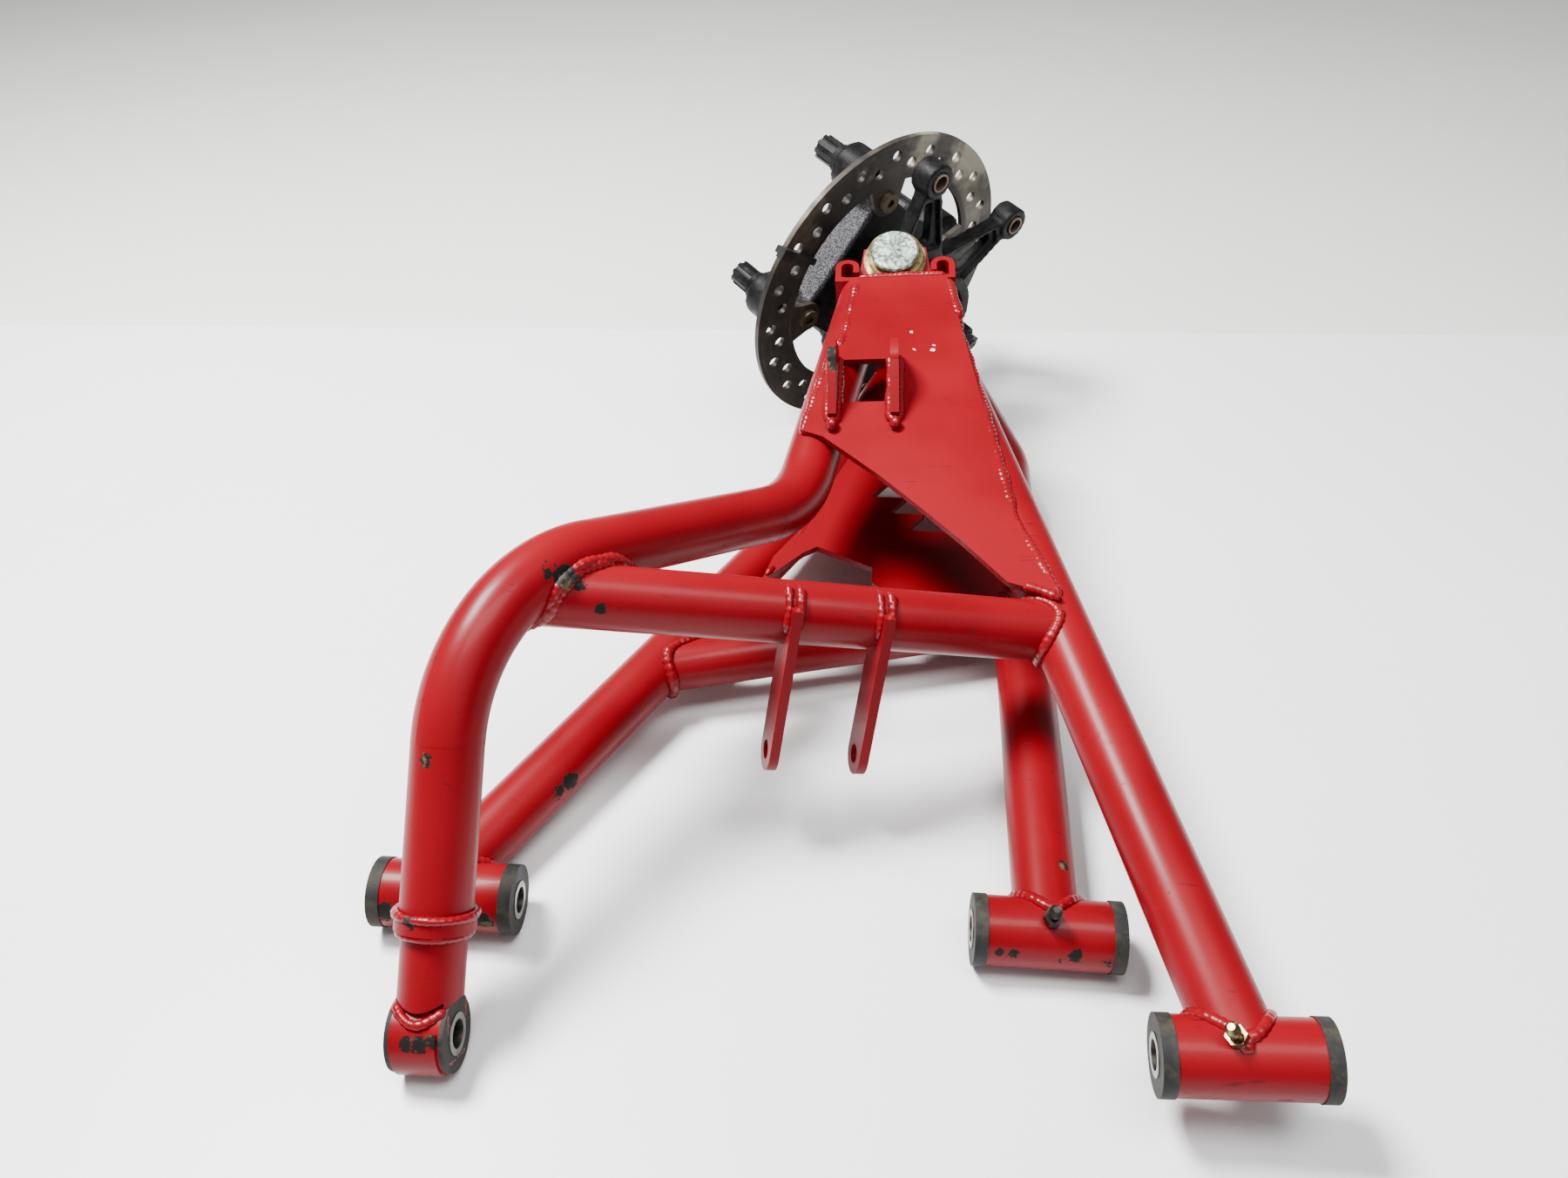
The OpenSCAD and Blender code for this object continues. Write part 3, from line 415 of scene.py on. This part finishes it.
def spoke(side, other, angle):
    return side * math.cos(angle) + other * math.sin(angle)


# ---------------------------------------------------------------- castings, corners run together

VOXEL = 0.0013
SMOOTH_ROUNDS = 5


def casting(name, node, body, material):
    source = NODES[node]
    obj = linked(name, source.data.copy())
    obj.matrix_world = source.matrix_world.copy()
    remesh = obj.modifiers.new("remesh", "REMESH")
    remesh.mode = "VOXEL"
    remesh.voxel_size = VOXEL
    smooth = obj.modifiers.new("smooth", "SMOOTH")
    smooth.factor = 0.5
    smooth.iterations = SMOOTH_ROUNDS
    bake(obj)
    shade_smooth(obj.data)
    put(obj, material)
    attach(obj, body)
    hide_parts(node)


casting("knuckle_casting", "knuckle", "knuckle", CAST)
casting("hub_casting_body", "wheel_hub", "hub", HUB)

# ---------------------------------------------------------------- weld beads


PATH_GAP = 0.0008
BEAD_SIDES = 8


def surface(name):
    obj = NODES[name]
    mesh = obj.data
    verts = [obj.matrix_world @ v.co for v in mesh.vertices]
    return BVHTree.FromPolygons(verts, [tuple(p.vertices) for p in mesh.polygons])


SURFACE = {}


def hit(node, start, way, reach=0.4):
    if node not in SURFACE:
        SURFACE[node] = surface(node)
    return SURFACE[node].ray_cast(start, way, reach)[0]


def ring_on(node, start, end, radius, count=72, arc=(0, 360)):
    """Where a round tube of that radius, going from start to end, meets a node."""
    way = (end - start).normalized()
    side, other = across(way)
    points = []
    for i in range(count):
        a = math.radians(arc[0] + (arc[1] - arc[0]) * i / count)
        p = hit(node, start + spoke(side, other, a) * radius, way)
        if p is not None:
            points.append(p)
    return points


def resample(points, gap, closed):
    pts = points + [points[0]] if closed else points
    out, left = [pts[0].copy()], gap
    for a, b in zip(pts, pts[1:]):
        length = (b - a).length
        done = 0.0
        while length - done >= left:
            done += left
            out.append(a.lerp(b, done / length))
            left = gap
        left -= length - done
    return out


def smoothed(points, closed, times=2):
    for _ in range(times):
        n = len(points)
        fresh = []
        for i, p in enumerate(points):
            if not closed and i in (0, n - 1):
                fresh.append(p)
            else:
                fresh.append((points[i - 1] + p * 2 + points[(i + 1) % n]) / 4)
        points = fresh
    return points


def wobble(k):
    return math.sin(k * 12.9898) * 0.5 + math.sin(k * 4.1414 + 1.7) * 0.5


class Beads:
    """All the weld beads of one body: rippled rounds along paths."""

    def __init__(self):
        self.bm = bmesh.new()
        self.seed = 0.0

    def run(self, points, width, closed=False, pitch=3.4, lumpy=0.12):
        if len(points) < 3:
            return
        self.seed += 3.7
        path = smoothed(resample(points, PATH_GAP, closed), closed, 3)
        n = len(path)
        rings = []
        normal = None
        for i, p in enumerate(path):
            a = path[i - 1] if (i or closed) else p
            b = path[(i + 1) % n] if (i < n - 1 or closed) else p
            tangent = (b - a).normalized()
            if normal is None:
                normal = tangent.orthogonal().normalized()
            normal = (normal - tangent * normal.dot(tangent)).normalized()
            binormal = tangent.cross(normal)
            phase = (i * 0.8 / pitch + 0.15 * wobble(i * 0.01 + self.seed)) % 1.0
            scale = 0.86 + 0.20 * (1 - phase) ** 0.6 + lumpy * wobble(i * 0.022 + self.seed)
            if not closed:
                scale *= min(1.0, 0.45 + 0.14 * min(i, n - 1 - i))
            radius = width * 0.0005 * scale
            shift = tangent * (radius * 0.5)
            ring = []
            for k in range(BEAD_SIDES):
                out = spoke(normal, binormal, math.radians(360 / BEAD_SIDES * k))
                ring.append(self.bm.verts.new(p + out * radius + shift * 0.3))
            rings.append(ring)
        last = len(rings) if closed else len(rings) - 1
        for i in range(last):
            r1, r2 = rings[i], rings[(i + 1) % len(rings)]
            for k in range(BEAD_SIDES):
                k2 = (k + 1) % BEAD_SIDES
                self.bm.faces.new((r1[k], r1[k2], r2[k2], r2[k]))
        if not closed:
            self.bm.faces.new(rings[0][::-1])
            self.bm.faces.new(rings[-1])

    def done(self, name, body):
        obj = smooth_object(name, self.bm)
        put(obj, BEAD)
        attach(obj, body)


def pts(matrix, *rows):
    return [at(matrix, *row) for row in rows]


TUBE = 0.015875  # outer radius of the arm tubes
THIN_TUBE = 0.0143  # and of the thinner ones
up = Beads()
up.run(ring_on("upper_rear_barrel", at(UPPER, -20, 70, 0), at(UPPER, -1.5, 0, 0), TUBE), 6, True)
spigot_way = Vector((-331 + 345, 158, 118)).normalized()
collar = Vector((-345, 0, 0)) + spigot_way * 49
up.run(ring_on("upper_front_barrel", at(UPPER, *collar), at(UPPER, -345, 0, 0), THIN_TUBE), 4.5, True)
spigot_side, spigot_other = across(spigot_way)
for shift, radius, width in ((-4.5, 15.6, 3.6), (3.6, 17.2, 4.0)):
    centre = collar + spigot_way * shift
    row = []
    for i in range(48):
        out = spoke(spigot_side, spigot_other, i * math.pi / 24) * radius
        row.append(at(UPPER, *(centre + out)))
    up.run(row, width, True)
cross_a, cross_b = Vector((-62, 213.5, 0)), Vector((-321, 176, 87))
middle = at(UPPER, *cross_a.lerp(cross_b, 0.5))
up.run(ring_on("upper_rear_leg", middle, at(UPPER, *cross_a), TUBE), 6.5, True)
up.run(ring_on("upper_front_leg", middle, at(UPPER, *cross_b), TUBE), 8, True, lumpy=0.22)
up.run(ring_on("upper_front_leg", middle, at(UPPER, *cross_b), TUBE + 0.0025, arc=(60, 300)), 6,
       lumpy=0.25)


def edge_on(node, matrix, corners, lift=6.0):
    """A plate's edge laid down onto the tube below it."""
    row = [Vector(c) for c in corners]
    dense = []
    for a, b in zip(row, row[1:]):
        steps = max(2, int((b - a).length / 4))
        dense += [a.lerp(b, i / steps) for i in range(steps)]
    dense.append(row[-1])
    down = along(matrix, 0, 0, -1)
    out = []
    for p in dense:
        q = hit(node, at(matrix, p.x, p.y, p.z + lift), down, 0.03)
        out.append(q if q is not None and (q - at(matrix, *p)).length < 0.012 else at(matrix, *p))
    return out


up.run(edge_on("upper_rear_leg", UPPER, [(-58, 224, 16), (-77.5, 277, 17), (-107, 487, 17)]),
       7.0, lumpy=0.16)
up.run(edge_on("upper_front_leg", UPPER, [(-167, 487, 17), (-173, 437, 17), (-183, 410, 17),
                                          (-195, 357, 16), (-197, 349, 15)]), 7.6, lumpy=0.22)
up.run(pts(UPPER, (-166, 492, 17.5), (-150, 492.5, 17), (-128, 492.5, 17), (-108, 492, 17.5)),
       6.0, lumpy=0.18)
up.run(pts(UPPER, (-58, 221, 18), (-66, 226, 18), (-76, 230, 18)), 5.5, lumpy=0.2)
for x in (-179, -142):
    up.run(pts(UPPER, (x - 3, 411, 19.3), (x - 3, 385, 19.3), (x - 3.2, 357, 19.5), (x, 352.5, 20),
               (x + 3.2, 357, 19.5), (x + 3, 385, 19.3), (x + 3, 411, 19.3)),
           5.6, pitch=4.2, lumpy=0.22)
    up.run(pts(UPPER, (x - 2.5, 351, 20.5), (x, 349.0, 21.5), (x + 2.5, 351, 20.5)), 10.5, pitch=6)
up.run(pts(UPPER, (-182, 499.5, 12), (-165, 500, 8), (-150, 500, 4)), 4)
# the feet of the link tabs, on both sides of each
cross_way = (cross_a - cross_b).normalized()
back = Vector((0, 0, 1)) - cross_way * cross_way.z
back.normalize()
front = back.cross(cross_way).normalized()
if front.y > 0:
    front = -front
for t in (0.513, 0.345):
    foot = cross_a.lerp(cross_b, t)
    for side in (-1, 1):
        row = []
        for i in range(9):
            out = spoke(back, front, math.radians(-18 + 12 * i))
            row.append(at(UPPER, *(foot + cross_way * (side * 2.9) + out * 16.2)))
        up.run(row, 4.6, lumpy=0.2)
up.done("weld_beads_upper", "upper_arm")

low = Beads()
low.run(ring_on("lower_rear_barrel", at(LOWER, 2, 70, 0), at(LOWER, 1, 0, 0), TUBE), 6, True)
low.run(ring_on("lower_front_barrel", at(LOWER, -259, 67, 0), at(LOWER, -297, -4, 0), TUBE), 6, True)
low_a, low_b = Vector((-205, 160, 0)), Vector((3, 218, 0))
middle = at(LOWER, *low_a.lerp(low_b, 0.5))
low.run(ring_on("lower_rear_leg", middle, at(LOWER, *low_b), THIN_TUBE), 6, True)
low.run(ring_on("lower_front_leg", middle, at(LOWER, *low_a), THIN_TUBE), 7, True, lumpy=0.2)
low.run(edge_on("lower_front_leg", LOWER, [(-152, 232, 12), (-130, 284, 12), (-88, 400, 12),
                                           (-66, 464, 12)]), 4.6)
low.run(edge_on("lower_rear_leg", LOWER, [(-2, 224, 12), (-4, 300, 12), (-4, 380, 12),
                                          (-22, 462, 12)]), 4.6)
low.done("weld_beads_lower", "lower_arm")

# ---------------------------------------------------------------- rubber bellows


BOOT_SIDES = 48
# share of the way from rim to neck, radius in mm
PLEATS = [(0.0, 14.6), (0.10, 17.2), (0.20, 15.2), (0.32, 17.0), (0.44, 13.6), (0.56, 15.4),
          (0.68, 12.0), (0.80, 13.4), (0.92, 10.6), (1.0, 9.7)]


def bellows(name, housing, sign, ball, way, node):
    """A pleated boot from the housing's rim to the stud's neck."""
    rim = housing @ Vector((0, 0, sign * 0.0075))
    rim_way = along(housing, 0, 0, sign)
    neck = ball + way * 0.0190
    bm = bmesh.new()
    rings = []
    for t, r in PLEATS:
        axis = rim_way.lerp(way, t).normalized()
        centre = rim.lerp(neck, t)
        side = axis.cross(Vector((1, 0, 0))).normalized()
        other = axis.cross(side)
        ring = []
        for k in range(BOOT_SIDES):
            out = spoke(side, other, k * math.tau / BOOT_SIDES)
            ring.append(bm.verts.new(centre + out * r * 0.001))
        rings.append(ring)
    for a, b in zip(rings, rings[1:]):
        for k in range(BOOT_SIDES):
            k2 = (k + 1) % BOOT_SIDES
            bm.faces.new((a[k], a[k2], b[k2], b[k]))
    obj = smooth_object(name, bm)
    solid = obj.modifiers.new("wall", "SOLIDIFY")
    solid.thickness = 0.0008
    rounder = obj.modifiers.new("round", "SUBSURF")
    rounder.levels = 1
    rounder.render_levels = 1
    bake(obj)
    put(obj, BOOT)
    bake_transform(obj)
    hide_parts(node)


bellows("upper_bellows", UPPER_HOUSING, -1, UPPER_BALL, -KINGPIN,
        "upper_boot")
bellows("lower_bellows", LOWER_HOUSING, 1, LOWER_BALL, KINGPIN,
        "lower_boot")

# ---------------------------------------------------------------- stage, light and camera


def plane(name, corners, material):
    mesh = bpy.data.meshes.new(name)
    mesh.from_pydata([Vector(c) for c in corners], [], [(0, 1, 2, 3)])
    obj = linked(name, mesh)
    put(obj, material)


def pale(name, colour, rough):
    m = Maker(name)
    cloud = m.noise(3, 5, 0.6)
    shade = m.mix(m.step(cloud, 0.3, 0.7), tuple(c * 0.97 for c in colour), colour)
    m.bump(m.noise(60, 4, 0.6), 0.05, 0.0004)
    return m.finish(Base_Color=shade, Roughness=rough)


WALL_A, WALL_B = Vector((-0.907, 0.619, 0)), Vector((0.548, 0.708, 0))
wall_way = (WALL_B - WALL_A).normalized()
near = Vector((wall_way.y, -wall_way.x, 0))
left, right = WALL_A - wall_way * 3, WALL_B + wall_way * 3
# the photograph's wall line runs from left to right; near points to the camera's side of it
table = [left, left + near * 4, right + near * 4, right]
plane("table", [(p.x, p.y, TABLE) for p in table],
      pale("white_table", (0.78, 0.785, 0.79), 0.42))
# the backdrop lies flat past that line, so that it hides nothing from behind; its darker tone than the
# table is painted shade, standing in for the lower light on the upright wall
backdrop = [left - near * 4, left, right, right - near * 4]
plane("backdrop", [(p.x, p.y, TABLE) for p in backdrop],
      pale("backdrop_painted_wall_shade", (0.66, 0.655, 0.645), 0.7))


def lamp(name, place, target, size, power, colour=(1, 1, 1)):
    data = bpy.data.lights.new(name, "AREA")
    data.shape = "RECTANGLE"
    data.size, data.size_y = size
    data.energy = power
    data.color = colour
    obj = linked(name, data)
    obj.location = place
    aim = Vector(target) - Vector(place)
    obj.rotation_euler = aim.to_track_quat("-Z", "Y").to_euler()


lamp("key", (-0.85, 0.35, 1.50), (-0.05, 0.25, 0), (0.55, 0.45), 118, (1.0, 0.99, 0.97))
lamp("fill", (0.9, -1.0, 1.5), (0, 0.2, 0.05), (1.4, 1.2), 5, (0.95, 0.98, 1.0))
lamp("wall wash", (0.3, -0.3, 2.2), (0.0, 0.8, 0.5), (1.6, 0.8), 60)

world = bpy.data.worlds.new("studio")
bpy.context.scene.world = world
world.use_nodes = True
world.node_tree.nodes["Background"].inputs[0].default_value = (1, 1, 1, 1)
world.node_tree.nodes["Background"].inputs[1].default_value = 0.32

camera = bpy.data.cameras.new("camera")
camera.lens = 27.06
camera.sensor_width = 36
camera.clip_start = 0.01
shooter = linked("camera", camera)
shooter.location = (-0.0971, -0.3446, 0.4676)
shooter.rotation_euler = (math.radians(52), 0, math.radians(4.36))
bpy.context.scene.camera = shooter
